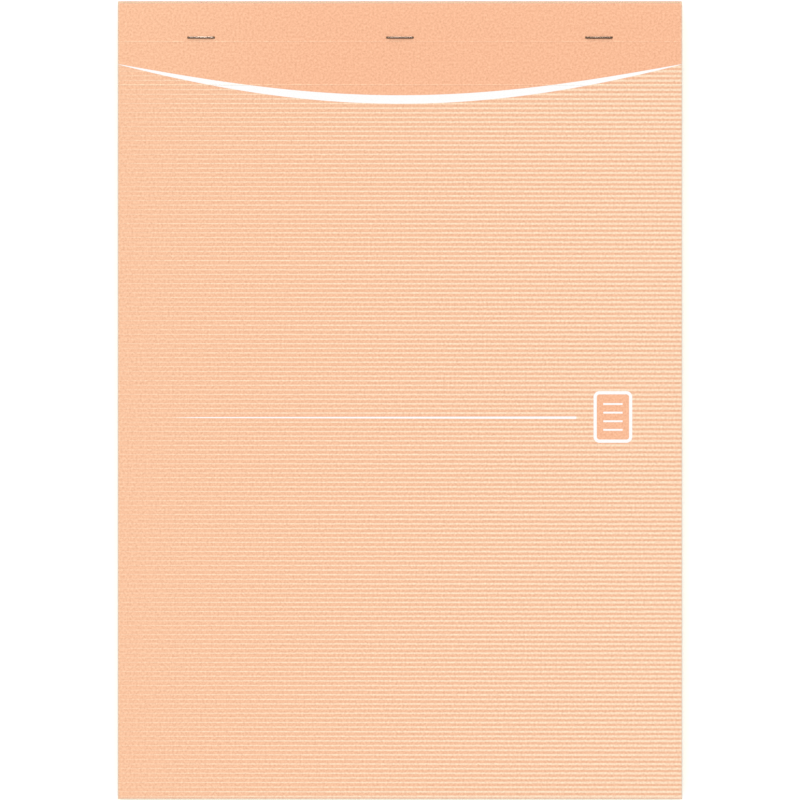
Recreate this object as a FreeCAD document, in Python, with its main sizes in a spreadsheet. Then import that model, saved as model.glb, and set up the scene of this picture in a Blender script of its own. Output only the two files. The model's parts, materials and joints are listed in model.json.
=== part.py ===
import FreeCAD, Part
import math
import os

import Sketcher

# A stapled legal pad that lies on its back, cover up. X runs across the pad, Y towards its head
# and Z up from the lowest point, under the turned-in legs of the staples. A block of ruled sheets
# lies on a greyboard back. One card wraps the head: it covers the front, is folded down over the
# head and ends in a short tail on the back. Three wire staples go through all of it. The front of
# the card turns on a crease just below the staples, so the card is drawn as two solids that meet
# there, the head wrap and the front cover. All lengths are in millimetres.

SIZES = (
    ("pad_width", 210.0, "cut edge to cut edge"),
    ("pad_length", 297.0, "foot to the outside of the head fold"),
    ("sheet_count", 80.0, "sheets of paper in the block"),
    ("sheet_thickness", 0.1, "one sheet of writing paper"),
    ("board_thickness", 0.9, "greyboard of the back"),
    ("card_thickness", 0.35, "card of the cover and the head wrap"),
    ("head_strip", 15.2, "head to the crease that the cover turns on"),
    ("second_strip", 15.9, "first crease to second crease"),
    ("crease_width", 0.6, "width of the raised bead along a crease"),
    ("crease_rise", 0.1, "height of that bead"),
    ("tail_length", 22.0, "head to the end of the card on the back"),
    ("tail_recess", 0.15, "depth that the tail is pressed into the board"),
    ("tail_play", 0.2, "gap between the tail's end and the edge of its recess"),
    ("head_bend", 1.25, "inside radius of the card's bend at the front of the head"),
    ("tail_bend", 0.4, "inside radius of the card's bend at the back of the head"),
    ("wrap_play", 0.05, "gap between the sheets' head edges and the card"),
    ("staple_side", 31.0, "side of the pad to the middle of the nearest staple"),
    ("staple_inset", 13.7, "head to the line of staples"),
    ("crown_length", 10.2, "outside length of a staple's crown"),
    ("wire_diameter", 0.7, "round steel wire of the staples"),
    ("staple_bend", 0.15, "inside radius of the wire's bends"),
    ("clinch_length", 4.3, "turned-in leg, from the staple's side to the tip"),
    ("staple_bite", 0.2, "depth that the wire sinks into the card"),
    ("staple_play", 0.03, "gap between the wire and the dents and slits it lies in"),
    ("tear_offset", 2.4, "first crease to the row of tear slits"),
    ("slit_length", 2.8, "one slit of the tear row"),
    ("slit_width", 0.2, "width of that slit"),
    ("slit_bridge", 0.8, "paper left between two slits"),
)
STAPLES = ("left", "middle", "right")
NEAR = 1e-4

# Heights above the table and places along the pad, as expressions of the size table.
TAIL_LOW = "(Size.wire_diameter + Size.staple_play - Size.staple_bite)"
TAIL_TOP = f"({TAIL_LOW} + Size.card_thickness)"
BOARD_LOW = f"({TAIL_TOP} - Size.tail_recess)"
BLOCK_LOW = f"({BOARD_LOW} + Size.board_thickness)"
BLOCK_TOP = f"({BLOCK_LOW} + Size.sheet_count * Size.sheet_thickness)"
CARD_TOP = f"({BLOCK_TOP} + Size.card_thickness)"
WIRE_RADIUS = "(Size.wire_diameter / 2)"
CROWN_LEVEL = f"({CARD_TOP} - Size.staple_bite + Size.staple_play + {WIRE_RADIUS})"

HEAD = "(Size.pad_length / 2)"
FOOT = "(-Size.pad_length / 2)"
SPINE_INSIDE = f"({HEAD} - Size.card_thickness)"
CREASE = f"({HEAD} - Size.head_strip)"
SECOND_CREASE = f"({CREASE} - Size.second_strip)"
HALF_BEAD = "(Size.crease_width / 2)"
TAIL_END = f"({HEAD} - Size.tail_length)"
STAPLE_LINE = f"({HEAD} - Size.staple_inset)"
TEAR_LINE = f"({CREASE} - Size.tear_offset)"

# Across one staple: its legs, its bends and the tips of its turned-in legs.
LEG_PLACE = f"(Size.crown_length / 2 - {WIRE_RADIUS})"
BEND_RADIUS = f"(Size.staple_bend + {WIRE_RADIUS})"
BEND_PLACE = f"({LEG_PLACE} - {BEND_RADIUS})"
TIP_PLACE = "(Size.crown_length / 2 - Size.clinch_length)"
STAPLE_SPACING = f"((Size.pad_width - 2 * Size.staple_side) / {len(STAPLES) - 1})"
FIRST_STAPLE = "(Size.staple_side - Size.pad_width / 2)"

SLIT_PITCH = "(Size.slit_length + Size.slit_bridge)"
SLIT_COUNT = f"floor((Size.pad_width - Size.slit_bridge) / {SLIT_PITCH})"
FIRST_SLIT = f"(-({SLIT_COUNT} - 1) * {SLIT_PITCH} / 2)"

doc = FreeCAD.newDocument("legal_pad")


def make_size_table():
    """Writes the driving dimensions into the document's table, one named cell each."""
    table = doc.addObject("Spreadsheet::Sheet", "Size")
    for row, (name, value, meaning) in enumerate(SIZES, 1):
        table.set(f"A{row}", name)
        table.set(f"B{row}", str(value))
        table.set(f"C{row}", meaning)
        table.setAlias(f"B{row}", name)
    doc.recompute()
    return table


size_table = make_size_table()


def value_of(expression):
    """Works an expression of the size table out as a number."""
    return float(size_table.evalExpression(expression.replace("Size.", "")))


def make_body(name):
    body = doc.addObject("PartDesign::Body", name)
    body.Label = name
    return body


def origin_part(body, role):
    return next(part for part in body.Origin.OriginFeatures if part.Role == role)


def make_sketch(body, name, plane, lift=None):
    """Puts an empty sketch on one of the body's own planes, moved along its normal by lift."""
    sketch = body.newObject("Sketcher::SketchObject", name)
    sketch.AttachmentSupport = (origin_part(body, plane), [""])
    sketch.MapMode = "FlatFace"
    if lift:
        sketch.setExpression("AttachmentOffset.Base.z", lift)
    return sketch


def bind(sketch, constraint, name, expression):
    """Adds a dimension to the sketch and ties it to the size table."""
    sketch.renameConstraint(sketch.addConstraint(constraint), name)
    sketch.setExpression(f"Constraints.{name}", expression)


def hold_point(sketch, name, geometry, end, across, up):
    """Ties one point of the sketch to its place across and up from the sketch's origin."""
    for kind, place in (("DistanceX", across), ("DistanceY", up)):
        distance = Sketcher.Constraint(kind, -1, 1, geometry, end, value_of(place))
        bind(sketch, distance, f"{name}_{kind[-1].lower()}", place)


def draw_outline(sketch, name, corners):
    """Draws a closed outline of straight lines through corners given as expressions."""
    points = [FreeCAD.Vector(value_of(across), value_of(up), 0) for across, up in corners]
    lines = [
        sketch.addGeometry(Part.LineSegment(start, end))
        for start, end in zip(points, points[1:] + points[:1])
    ]
    for line, following, (across, up) in zip(lines, lines[1:] + lines[:1], corners):
        sketch.addConstraint(Sketcher.Constraint("Coincident", line, 2, following, 1))
        hold_point(sketch, f"{name}_{line}", line, 1, across, up)


def draw_rectangle(sketch, name, left, right, low, high):
    draw_outline(sketch, name, ((left, low), (right, low), (right, high), (left, high)))


def draw_circle(sketch, name, across, up, radius):
    centre = FreeCAD.Vector(value_of(across), value_of(up), 0)
    normal = FreeCAD.Vector(0, 0, 1)
    circle = sketch.addGeometry(Part.Circle(centre, normal, value_of(radius)))
    hold_point(sketch, name, circle, 3, across, up)
    bind(sketch, Sketcher.Constraint("Radius", circle, value_of(radius)), f"{name}_radius", radius)


def pad_across(body, outline):
    """Extends an outline of the pad's side view over the whole width of the pad."""
    sketch = make_sketch(body, f"{body.Name}_outline", "YZ_Plane")
    draw_outline(sketch, "corner", outline)
    pad = body.newObject("PartDesign::Pad", f"{body.Name}_width")
    pad.Profile = sketch
    pad.SideType = "Symmetric"
    pad.setExpression("Length", "Size.pad_width")
    doc.recompute()
    return pad


def round_edge(body, name, across, up, radius):
    """Rounds the edge that runs over the pad's width at the given place in the side view."""
    feature = body.Tip
    place = FreeCAD.Vector(0, value_of(across), value_of(up))
    for number, edge in enumerate(feature.Shape.Edges, 1):
        ends = [FreeCAD.Vector(0, vertex.Y, vertex.Z) for vertex in edge.Vertexes]
        if all(end.distanceToPoint(place) < NEAR for end in ends):
            break
    else:
        raise RuntimeError(f"{body.Name} has no edge to round for {name}")
    fillet = body.newObject("PartDesign::Fillet", name)
    fillet.Base = (feature, [f"Edge{number}"])
    fillet.setExpression("Radius", radius)
    doc.recompute()
    return fillet


def cut(body, name, sketch, length=None):
    """Cuts the sketch out of the body both ways, to the given length or right through."""
    volume = body.Tip.Shape.Volume
    pocket = body.newObject("PartDesign::Pocket", name)
    pocket.Profile = sketch
    pocket.SideType = "Symmetric"
    if length:
        pocket.setExpression("Length", length)
    else:
        pocket.Type = "ThroughAll"
    doc.recompute()
    if pocket.Shape.Volume >= volume:
        raise RuntimeError(f"{name} cuts nothing out of {body.Name}")
    return pocket


def repeat_across(body, name, features, spacing, count):
    """Repeats features along the pad's width and makes the row the body's last step."""
    pattern = body.newObject("PartDesign::LinearPattern", name)
    pattern.Originals = features
    pattern.Direction = (origin_part(body, "X_Axis"), [""])
    pattern.Mode = "Spacing"
    pattern.setExpression("Offset", spacing)
    pattern.setExpression("Occurrences", count)
    body.Tip = pattern
    doc.recompute()
    return pattern


def cut_leg_slits(body):
    """Cuts the two slits that the first staple's legs pierce: snug, with room for the bend inside."""
    sketch = make_sketch(body, f"{body.Name}_leg_places", "XY_Plane")
    reach = f"({WIRE_RADIUS} + Size.staple_play)"
    inner = f"({LEG_PLACE} - {WIRE_RADIUS} - Size.staple_bend)"
    outer = f"({LEG_PLACE} + {reach})"
    low, high = f"{STAPLE_LINE} - {reach}", f"{STAPLE_LINE} + {reach}"
    left_leg = f"{FIRST_STAPLE} - {outer}", f"{FIRST_STAPLE} - {inner}"
    right_leg = f"{FIRST_STAPLE} + {inner}", f"{FIRST_STAPLE} + {outer}"
    draw_rectangle(sketch, "left_leg", *left_leg, low, high)
    draw_rectangle(sketch, "right_leg", *right_leg, low, high)
    return cut(body, f"{body.Name}_leg_slits", sketch)


def cut_staple_dents(body):
    """Cuts the dents that the first staple's crown and turned-in legs press, from slit to slit."""
    sketch = make_sketch(body, f"{body.Name}_dent_places", "YZ_Plane", FIRST_STAPLE)
    radius = f"({WIRE_RADIUS} + Size.staple_play)"
    draw_circle(sketch, "crown", STAPLE_LINE, CROWN_LEVEL, radius)
    draw_circle(sketch, "legs", STAPLE_LINE, WIRE_RADIUS, radius)
    return cut(body, f"{body.Name}_dents", sketch, f"2 * {LEG_PLACE}")


def repeat_for_staples(body, features):
    return repeat_across(body, f"{body.Name}_staple_row", features, STAPLE_SPACING, str(len(STAPLES)))


def make_head_wrap():
    """The part of the card that stays put: front strip, head fold and tail on the back."""
    body = make_body("head_wrap")
    pad_across(body, (
        (CREASE, f"{CARD_TOP} + Size.crease_rise"),
        (f"{CREASE} + {HALF_BEAD}", CARD_TOP),
        (HEAD, CARD_TOP),
        (HEAD, TAIL_LOW),
        (TAIL_END, TAIL_LOW),
        (TAIL_END, TAIL_TOP),
        (SPINE_INSIDE, TAIL_TOP),
        (SPINE_INSIDE, BLOCK_TOP),
        (f"{CREASE} + {HALF_BEAD}", BLOCK_TOP),
        (CREASE, f"{BLOCK_TOP} + Size.crease_rise"),
    ))
    round_edge(body, "head_fold_outside", HEAD, CARD_TOP, "Size.head_bend + Size.card_thickness")
    round_edge(body, "head_fold_inside", SPINE_INSIDE, BLOCK_TOP, "Size.head_bend")
    round_edge(body, "tail_fold_outside", HEAD, TAIL_LOW, "Size.tail_bend + Size.card_thickness")
    round_edge(body, "tail_fold_inside", SPINE_INSIDE, TAIL_TOP, "Size.tail_bend")
    repeat_for_staples(body, [cut_staple_dents(body), cut_leg_slits(body)])
    return body


def make_front_cover():
    """The part of the card that turns: it has a raised bead at both creases, hollow below."""
    body = make_body("front_cover")
    pad_across(body, (
        (FOOT, BLOCK_TOP),
        (f"{SECOND_CREASE} - {HALF_BEAD}", BLOCK_TOP),
        (SECOND_CREASE, f"{BLOCK_TOP} + Size.crease_rise"),
        (f"{SECOND_CREASE} + {HALF_BEAD}", BLOCK_TOP),
        (f"{CREASE} - {HALF_BEAD}", BLOCK_TOP),
        (CREASE, f"{BLOCK_TOP} + Size.crease_rise"),
        (CREASE, f"{CARD_TOP} + Size.crease_rise"),
        (f"{CREASE} - {HALF_BEAD}", CARD_TOP),
        (f"{SECOND_CREASE} + {HALF_BEAD}", CARD_TOP),
        (SECOND_CREASE, f"{CARD_TOP} + Size.crease_rise"),
        (f"{SECOND_CREASE} - {HALF_BEAD}", CARD_TOP),
        (FOOT, CARD_TOP),
    ))
    return body


def make_sheet_block():
    """The stack of sheets, pierced by the staples and by the row of slits that it tears along."""
    body = make_body("sheet_block")
    head_edge = f"{SPINE_INSIDE} - Size.wrap_play"
    pad_across(body, (
        (FOOT, BLOCK_LOW),
        (head_edge, BLOCK_LOW),
        (head_edge, BLOCK_TOP),
        (FOOT, BLOCK_TOP),
    ))
    round_edge(body, "sheets_under_fold", head_edge, BLOCK_TOP, "Size.head_bend")
    repeat_for_staples(body, [cut_leg_slits(body)])

    sketch = make_sketch(body, "first_slit_place", "XY_Plane")
    left, right = (f"{FIRST_SLIT} {sign} Size.slit_length / 2" for sign in "-+")
    low, high = (f"{TEAR_LINE} {sign} Size.slit_width / 2" for sign in "-+")
    draw_rectangle(sketch, "slit", left, right, low, high)
    slit = cut(body, "first_slit", sketch)
    repeat_across(body, "tear_row", [slit], SLIT_PITCH, SLIT_COUNT)
    return body


def make_backboard():
    """The greyboard back, pressed thinner where the card's tail lies on it."""
    body = make_body("backboard")
    recess_edge = f"{TAIL_END} - Size.tail_play"
    head_edge = f"{SPINE_INSIDE} - Size.tail_bend"
    pad_across(body, (
        (FOOT, BOARD_LOW),
        (recess_edge, BOARD_LOW),
        (recess_edge, TAIL_TOP),
        (head_edge, TAIL_TOP),
        (head_edge, BLOCK_LOW),
        (FOOT, BLOCK_LOW),
    ))
    repeat_for_staples(body, [cut_leg_slits(body)])
    return body


def draw_wire_path(sketch):
    """Draws the wire's centre line from tip to tip: leg, crown and leg, with a bend between runs."""
    low, high = WIRE_RADIUS, CROWN_LEVEL
    runs = (
        ((f"-{TIP_PLACE}", low), (f"-{BEND_PLACE}", low)),
        ((f"-{LEG_PLACE}", f"{low} + {BEND_RADIUS}"), (f"-{LEG_PLACE}", f"{high} - {BEND_RADIUS}")),
        ((f"-{BEND_PLACE}", high), (BEND_PLACE, high)),
        ((LEG_PLACE, f"{high} - {BEND_RADIUS}"), (LEG_PLACE, f"{low} + {BEND_RADIUS}")),
        ((BEND_PLACE, low), (TIP_PLACE, low)),
    )
    lines = []
    for number, (start, end) in enumerate(runs):
        points = [FreeCAD.Vector(value_of(across), value_of(up), 0) for across, up in (start, end)]
        lines.append(sketch.addGeometry(Part.LineSegment(*points)))
        hold_point(sketch, f"run_{number}_start", lines[-1], 1, *start)
        hold_point(sketch, f"run_{number}_end", lines[-1], 2, *end)

    radius = value_of(BEND_RADIUS)
    side, floor_level, top_level = (value_of(text) for text in (BEND_PLACE, low, high))
    quarter = math.pi / 2
    bends = (
        (-side, floor_level + radius, 2),
        (-side, top_level - radius, 1),
        (side, top_level - radius, 0),
        (side, floor_level + radius, 3),
    )
    for number, (across, up, turn) in enumerate(bends):
        circle = Part.Circle(FreeCAD.Vector(across, up, 0), FreeCAD.Vector(0, 0, 1), radius)
        arc = sketch.addGeometry(Part.ArcOfCircle(circle, turn * quarter, (turn + 1) * quarter))
        sketch.addConstraint(Sketcher.Constraint("Coincident", lines[number], 2, arc, 2))
        sketch.addConstraint(Sketcher.Constraint("Coincident", lines[number + 1], 1, arc, 1))
        bind(sketch, Sketcher.Constraint("Radius", arc, radius), f"bend_{number}", BEND_RADIUS)


def make_staple(side, number):
    """One staple of bent wire, drawn about its own middle and then put in its place."""
    body = make_body(f"staple_{side}")
    path = make_sketch(body, f"{body.Name}_path", "XZ_Plane")
    draw_wire_path(path)
    section = make_sketch(body, f"{body.Name}_section", "YZ_Plane", f"-{TIP_PLACE}")
    draw_circle(section, "wire", "0", WIRE_RADIUS, WIRE_RADIUS)
    wire = body.newObject("PartDesign::AdditivePipe", f"{body.Name}_wire")
    wire.Profile = section
    wire.Spine = path
    body.setExpression("Placement.Base.x", f"{FIRST_STAPLE} + {number} * {STAPLE_SPACING}")
    body.setExpression("Placement.Base.y", STAPLE_LINE)
    doc.recompute()
    return body


def check(bodies):
    """Stops the build if a step failed or a piece isn't one sound solid."""
    for item in doc.Objects:
        if "Invalid" in item.State or "Error" in item.State:
            raise RuntimeError(f"{item.Name} did not compute: {item.State}")
    for body in bodies:
        shape = body.Shape
        if shape.isNull() or not shape.isValid() or len(shape.Solids) != 1:
            raise RuntimeError(f"{body.Label} is not one sound solid")


bodies = [make_head_wrap(), make_front_cover(), make_sheet_block(), make_backboard()]
bodies += [make_staple(side, number) for number, side in enumerate(STAPLES)]
doc.recompute()
check(bodies)

os.makedirs("parts", exist_ok=True)
for body in bodies:
    body.Shape.exportStep(f"parts/{body.Label}.step")
    box = body.Shape.BoundBox
    print(
        f"{body.Label:12s} {body.Shape.Volume:11.2f} mm3"
        f"  x {box.XMin:8.2f} {box.XMax:8.2f}  y {box.YMin:8.2f} {box.YMax:8.2f}"
        f"  z {box.ZMin:6.3f} {box.ZMax:6.3f}"
    )
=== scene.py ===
# %% [markdown]
# A stapled legal pad, lying face up.
# The pad is one folded card cover, a block of ruled sheets, a greyboard back and three wire staples.
# The imported model holds every place and size, so it is loaded first and nothing is fitted by eye.
# Its solids and its hinge are kept at once, and the finished pieces take their places and sizes from them.

# %% Load the frame
import json
import math

import bpy
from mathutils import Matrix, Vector


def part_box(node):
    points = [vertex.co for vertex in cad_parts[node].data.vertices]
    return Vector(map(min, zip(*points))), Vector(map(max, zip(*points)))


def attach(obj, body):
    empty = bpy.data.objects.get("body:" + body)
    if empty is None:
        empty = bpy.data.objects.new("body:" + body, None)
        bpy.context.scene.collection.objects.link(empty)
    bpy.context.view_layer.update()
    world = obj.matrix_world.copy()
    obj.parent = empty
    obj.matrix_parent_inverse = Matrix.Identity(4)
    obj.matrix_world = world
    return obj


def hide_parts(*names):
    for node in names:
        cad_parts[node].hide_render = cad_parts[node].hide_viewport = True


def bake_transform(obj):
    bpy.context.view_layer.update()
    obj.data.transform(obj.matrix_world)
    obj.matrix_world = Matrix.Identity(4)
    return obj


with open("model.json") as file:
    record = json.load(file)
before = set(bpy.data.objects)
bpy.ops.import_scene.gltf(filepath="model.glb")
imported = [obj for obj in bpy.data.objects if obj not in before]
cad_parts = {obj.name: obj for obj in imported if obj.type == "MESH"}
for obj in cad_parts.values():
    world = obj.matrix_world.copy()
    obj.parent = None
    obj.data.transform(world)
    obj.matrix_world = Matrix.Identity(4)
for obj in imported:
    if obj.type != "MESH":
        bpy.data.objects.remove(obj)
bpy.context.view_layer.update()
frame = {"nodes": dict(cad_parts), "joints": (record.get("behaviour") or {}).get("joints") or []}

# %% [markdown]
# The sizes that the pieces share.
# Each one comes from the box of a solid or from the hinge, so a change of the pad moves the looks with it.
# Only what a box can't tell, such as the width of a crease or the radius of a fold, is written here.

# %% Read the sizes
MM = 0.001
cover_low, cover_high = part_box("front_cover")
wrap_low, wrap_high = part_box("head_wrap")
block_low, block_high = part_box("sheet_block")
staple_boxes = [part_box(name) for name in ("staple_left", "staple_middle", "staple_right")]
hinge = Vector(frame["joints"][0]["pos_m"])

EDGE = cover_high.x
FOOT = cover_low.y
HEAD = wrap_high.y
TAIL_END = wrap_low.y
TAIL_FACE = wrap_low.z
CARD = 0.35 * MM
CARD_FACE = block_high.z + CARD
HEAD_FOLD = 1.6 * MM
TAIL_FOLD = 0.75 * MM
SECOND_CREASE = 16.1 * MM
CREASES = (hinge.y, hinge.y - SECOND_CREASE)
CREASE_WIDTH = 0.6 * MM
CREASE_RISE = wrap_high.z - CARD_FACE

staple_low, staple_high = staple_boxes[0]
STAPLE_Y = (staple_low.y + staple_high.y) / 2
STAPLE_X = [(low.x + high.x) / 2 for low, high in staple_boxes]
WIRE = (staple_high.y - staple_low.y) / 2
LEG = (staple_high.x - staple_low.x) / 2 - WIRE
CROWN_Z = staple_high.z - WIRE
CLINCH_Z = staple_low.z + WIRE
TIP = 0.8 * MM
print("card", CARD_FACE / MM, "crease rise", CREASE_RISE / MM, "leg", LEG / MM, "wire", WIRE / MM)

# %% [markdown]
# A short way to write node trees.
# Blender's node trees take many lines when each socket is linked by hand.
# This small helper adds a node and feeds its inputs with values or with other nodes' outputs,
# so that a material reads like the sum that it works out.
# Colours are written as screen values from 0 to 255, and the standard screen curve turns them into light.

# %% Make the node helper
MIX_FIRST, MIX_SECOND, MIX_RESULT = 6, 7, 2
SCREEN_TOP = 255
DARK_END, DARK_SLOPE = 0.04045, 12.92
CURVE_SHIFT, CURVE_POWER = 0.055, 2.4


class Nodes:
    """Adds linked nodes to one tree."""

    def __init__(self, tree):
        self.tree = tree

    def feed(self, socket, value):
        if isinstance(value, bpy.types.NodeSocket):
            self.tree.links.new(value, socket)
        else:
            socket.default_value = value

    def add(self, kind, inputs=None, **settings):
        node = self.tree.nodes.new(kind)
        for name, value in settings.items():
            setattr(node, name, value)
        for name, value in (inputs or {}).items():
            self.feed(node.inputs[name], value)
        return node

    def math(self, operation, *values):
        node = self.add("ShaderNodeMath", operation=operation)
        for socket, value in zip(node.inputs, values):
            self.feed(socket, value)
        return node.outputs[0]

    def most(self, first, *others):
        for other in others:
            first = self.math("MAXIMUM", first, other)
        return first

    def rise(self, value, low, high):
        """Goes smoothly from 0 at low to 1 at high."""
        node = self.add("ShaderNodeMapRange", {"Value": value, "From Min": low, "From Max": high},
                        interpolation_type="SMOOTHSTEP")
        return node.outputs["Result"]

    def inside(self, low, value, high, soft):
        """1 between low and high, 0 outside, with an edge as wide as soft."""
        above = self.rise(self.math("SUBTRACT", value, low), -soft, soft)
        under = self.rise(self.math("SUBTRACT", high, value), -soft, soft)
        return self.math("MULTIPLY", above, under)

    def mix(self, share, first, second, blend_type="MIX"):
        """Mixes two colours, and keeps the result within what a surface can send back."""
        node = self.add("ShaderNodeMix", data_type="RGBA", blend_type=blend_type, clamp_result=True)
        self.feed(node.inputs[0], share)
        self.feed(node.inputs[MIX_FIRST], first)
        self.feed(node.inputs[MIX_SECOND], second)
        return node.outputs[MIX_RESULT]


def screen(red, green, blue):
    """A colour given by its screen values, in the linear light that shaders use."""
    def channel(value):
        share = value / SCREEN_TOP
        if share <= DARK_END:
            return share / DARK_SLOPE
        return ((share + CURVE_SHIFT) / (1 + CURVE_SHIFT)) ** CURVE_POWER
    return channel(red), channel(green), channel(blue), 1.0


def new_material(name):
    """A material with a Principled shader, ready to be fed."""
    material = bpy.data.materials.new(name)
    material.use_nodes = True
    return material, Nodes(material.node_tree), material.node_tree.nodes["Principled BSDF"]


print("node helper ready")

# %% [markdown]
# What every paper on the pad has in common.
# Card, writing paper and greyboard are all felted fibre: cloudy where fibres bunch, flecked where one is
# dark, and slightly rough to the touch. One group makes the clouds, the flecks and the height of the
# fibres, and each paper places it with its own grain size and uses as much of each as it needs.

# %% Build the fibre group
CLOUD_DETAIL, CLOUD_ROUGHNESS = 4.0, 0.65
FLECK_SPREAD = 3.2
FLECK_SIZE = 0.16
FLECK_CORE = FLECK_SIZE / 3
FLECK_STRETCH = 2.4
FIBRE_SCALE, FIBRE_DETAIL = 2.6, 3.0


def make_fibre_group():
    tree = bpy.data.node_groups.new("paper_fibre", "ShaderNodeTree")
    for name, kind in (("Place", "NodeSocketVector"), ("Grain", "NodeSocketFloat")):
        tree.interface.new_socket(name, in_out="INPUT", socket_type=kind)
    for name in ("Cloud", "Fleck", "Height"):
        tree.interface.new_socket(name, in_out="OUTPUT", socket_type="NodeSocketFloat")
    nodes = Nodes(tree)
    given = nodes.add("NodeGroupInput")
    result = nodes.add("NodeGroupOutput")
    per_grain = nodes.math("DIVIDE", 1.0, given.outputs["Grain"])
    grains = nodes.add("ShaderNodeVectorMath", operation="SCALE")
    nodes.feed(grains.inputs[0], given.outputs["Place"])
    nodes.feed(grains.inputs["Scale"], per_grain)
    cloud = nodes.add("ShaderNodeTexNoise", {"Vector": grains.outputs[0], "Scale": 1.0,
                                             "Detail": CLOUD_DETAIL, "Roughness": CLOUD_ROUGHNESS})
    stretched = nodes.add("ShaderNodeMapping", {"Vector": grains.outputs[0],
                                                "Scale": (1.0, FLECK_STRETCH, FLECK_STRETCH)})
    wander = nodes.add("ShaderNodeVectorMath", operation="ADD")
    nodes.feed(wander.inputs[0], stretched.outputs[0])
    nodes.feed(wander.inputs[1], cloud.outputs["Color"])
    cells = nodes.add("ShaderNodeTexVoronoi", {"Vector": wander.outputs[0],
                                                 "Scale": 1.0 / FLECK_SPREAD})
    fleck = nodes.rise(cells.outputs["Distance"], FLECK_SIZE, FLECK_CORE)
    fibre = nodes.add("ShaderNodeTexNoise", {"Vector": stretched.outputs[0], "Scale": FIBRE_SCALE,
                                             "Detail": FIBRE_DETAIL})
    nodes.feed(result.inputs["Cloud"], cloud.outputs["Fac"])
    nodes.feed(result.inputs["Fleck"], fleck)
    nodes.feed(result.inputs["Height"], fibre.outputs["Fac"])
    return tree


fibre_group = make_fibre_group()
print("fibre group:", len(fibre_group.nodes), "nodes")

# %% [markdown]
# Paper from the fibre group.
# This function finishes any of the pad's papers. It takes the colour that is printed or dyed, clouds it,
# darkens the flecks, and turns the height of the fibres into a fine bump. The print itself is worked out
# before, so a ruled sheet and a striped cover use the same last step. Where the ink is thin, its weak
# colours change more than its strong one, so the clouds of a printed card take a tint.

# %% Finish a paper
CLOUD_MIDDLE = 0.5
CLOUD_TINT = (0.76, 1.2, 1.4)
ROUGHNESS_SWING = 0.3
RELIEF_STRENGTH = 0.6


def finish_paper(nodes, shader, place, colour, grain, clouding, flecking, fleck_colour, bump, roughness,
                 tint=(1.0, 1.0, 1.0)):
    fibre = nodes.add("ShaderNodeGroup", node_tree=fibre_group)
    nodes.feed(fibre.inputs["Place"], place)
    nodes.feed(fibre.inputs["Grain"], grain)
    around = nodes.math("SUBTRACT", fibre.outputs["Cloud"], CLOUD_MIDDLE)
    swing = nodes.math("MULTIPLY", around, clouding)
    levels = [nodes.math("MULTIPLY_ADD", swing, part, 1.0) for part in tint]
    cloud = nodes.add("ShaderNodeCombineColor", dict(zip(("Red", "Green", "Blue"), levels)))
    clouded = nodes.mix(1.0, colour, cloud.outputs[0], "MULTIPLY")
    share = nodes.math("MULTIPLY", fibre.outputs["Fleck"], flecking)
    nodes.feed(shader.inputs["Base Color"], nodes.mix(share, clouded, fleck_colour))
    nodes.feed(shader.inputs["Roughness"], nodes.math("MULTIPLY_ADD", around, ROUGHNESS_SWING, roughness))
    relief = nodes.add("ShaderNodeBump", {"Height": fibre.outputs["Height"], "Distance": bump,
                                          "Strength": RELIEF_STRENGTH})
    nodes.feed(shader.inputs["Normal"], relief.outputs[0])


print("paper finish ready")

# %% [markdown]
# The place of each point on the card.
# The print belongs to the card and not to the space round it: when the cover turns over, its stripes turn
# too. So the card carries a UV map that says, in metres, how far across and how far along it each point
# lies, measured with the card laid out flat. These nodes read the map and give both in millimetres.

# %% Read the card's own map
CARD_MAP = "card"
PAD_LENGTH_MM = (HEAD - FOOT) / MM
HALF_WIDTH_MM = EDGE / MM


def read_card(nodes):
    """The map itself, millimetres to the right of the middle, and millimetres down from the head."""
    card_map = nodes.add("ShaderNodeUVMap", uv_map=CARD_MAP)
    parts = nodes.add("ShaderNodeSeparateXYZ", {"Vector": card_map.outputs[0]})
    across = nodes.math("MULTIPLY", parts.outputs["X"], 1 / MM)
    up = nodes.math("MULTIPLY", parts.outputs["Y"], 1 / MM)
    down = nodes.math("SUBTRACT", PAD_LENGTH_MM, up)
    return card_map.outputs[0], across, down


print("print field", 2 * HALF_WIDTH_MM, "by", PAD_LENGTH_MM, "mm")

# %% [markdown]
# The bow across the cover.
# A white bow, thick in the middle and sharp at both ends, parts the plain head of the cover from its
# stripes. Both of its edges are shallow curves, so each is a short sum in the square of the place across,
# in millimetres below the head: where it is in the middle, and what its square and fourth power add. What
# lies below the lower edge is the striped part.

# %% Draw the bow
BOW_TOP = (35.14, -13.85, 2.24)
BOW_BOTTOM = (38.29, -15.93, 1.29)
INK_EDGE = 0.05


def shallow_curve(nodes, square, terms):
    middle, second, fourth = terms
    inner = nodes.math("MULTIPLY_ADD", square, fourth, second)
    return nodes.math("MULTIPLY_ADD", inner, square, middle)


def draw_bow(nodes, across, down):
    share = nodes.math("DIVIDE", across, HALF_WIDTH_MM)
    square = nodes.math("MULTIPLY", share, share)
    top = shallow_curve(nodes, square, BOW_TOP)
    bottom = shallow_curve(nodes, square, BOW_BOTTOM)
    bow = nodes.inside(top, down, bottom, INK_EDGE)
    below = nodes.rise(nodes.math("SUBTRACT", down, bottom), -INK_EDGE, INK_EDGE)
    return bow, below


print("bow", round(BOW_BOTTOM[0] - BOW_TOP[0], 2), "mm thick in the middle")

# %% [markdown]
# The stripes.
# Light stripes repeat down the cover. They are hair-thin at the left edge and take up half of the pitch at
# the right, which is what gives the cover its slow change of tone. The share of the pitch that is light
# grows as a power of the place across. One stripe is drawn white over most of its length, and it swells to
# the right.

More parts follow.
